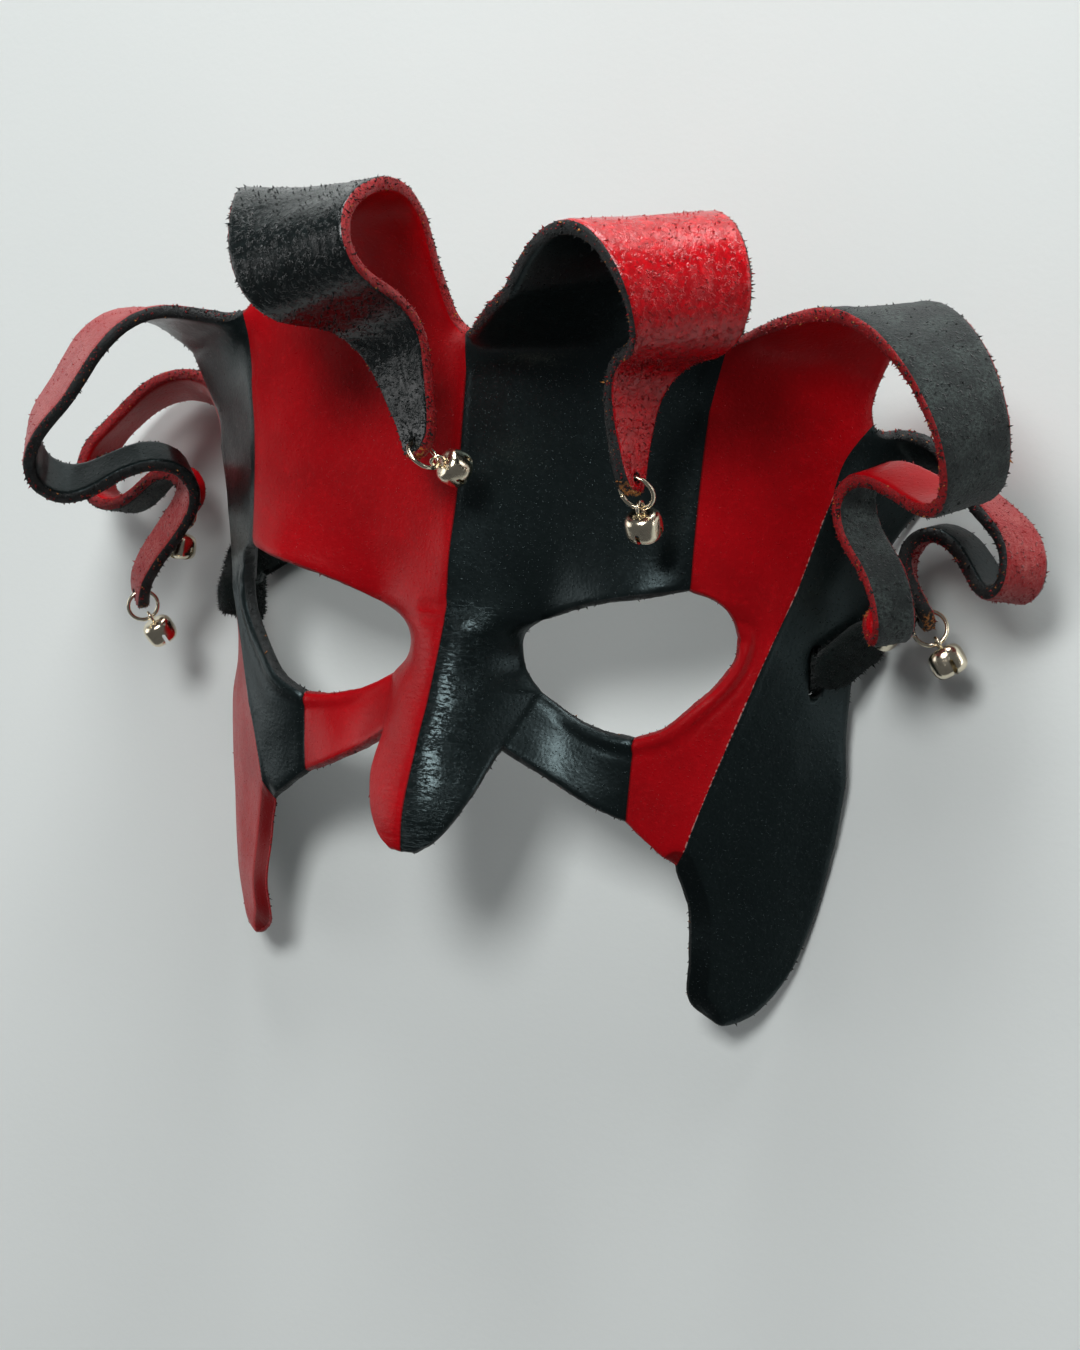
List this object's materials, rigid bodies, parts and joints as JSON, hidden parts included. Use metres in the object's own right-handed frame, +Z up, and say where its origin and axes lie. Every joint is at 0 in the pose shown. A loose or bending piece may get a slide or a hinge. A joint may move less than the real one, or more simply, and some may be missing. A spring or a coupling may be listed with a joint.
{
  "type": "leather jester mask",
  "caption": "Formed leather half-face jester mask with hooked nose, eye holes, cheek flaps, curled horn strips with jingle bells and a suede strap, lying on its back.",
  "frame": {"origin": "centre of the bottom of the box of the mask without its strap, on the surface that it lies on", "axes": "+Z up out of the face, +Y from the chin side towards the forehead and its horns, +X to the viewer's right"},
  "size_m": [0.2432, 0.1637, 0.0953],
  "materials": {
    "leather": "smooth dyed leather in deep red and near-black panels, fine pebbled grain, soft gloss, lacquered suede backs and raw cut edges",
    "suede": "matt black suede with a short nap",
    "nickel": "warm nickel plate, lightly worn"
  },
  "bodies": {
    "root": {"leather_mask": "leather", "strap": "suede", "ring_forehead_left": "nickel", "bell_forehead_left": "nickel", "ring_forehead_right": "nickel", "bell_forehead_right": "nickel", "ring_brow_right": "nickel", "bell_brow_right": "nickel", "ring_side_right": "nickel", "bell_side_right": "nickel", "ring_brow_left": "nickel", "bell_brow_left": "nickel", "ring_side_left": "nickel", "bell_side_left": "nickel"}
  },
  "joints": []
}
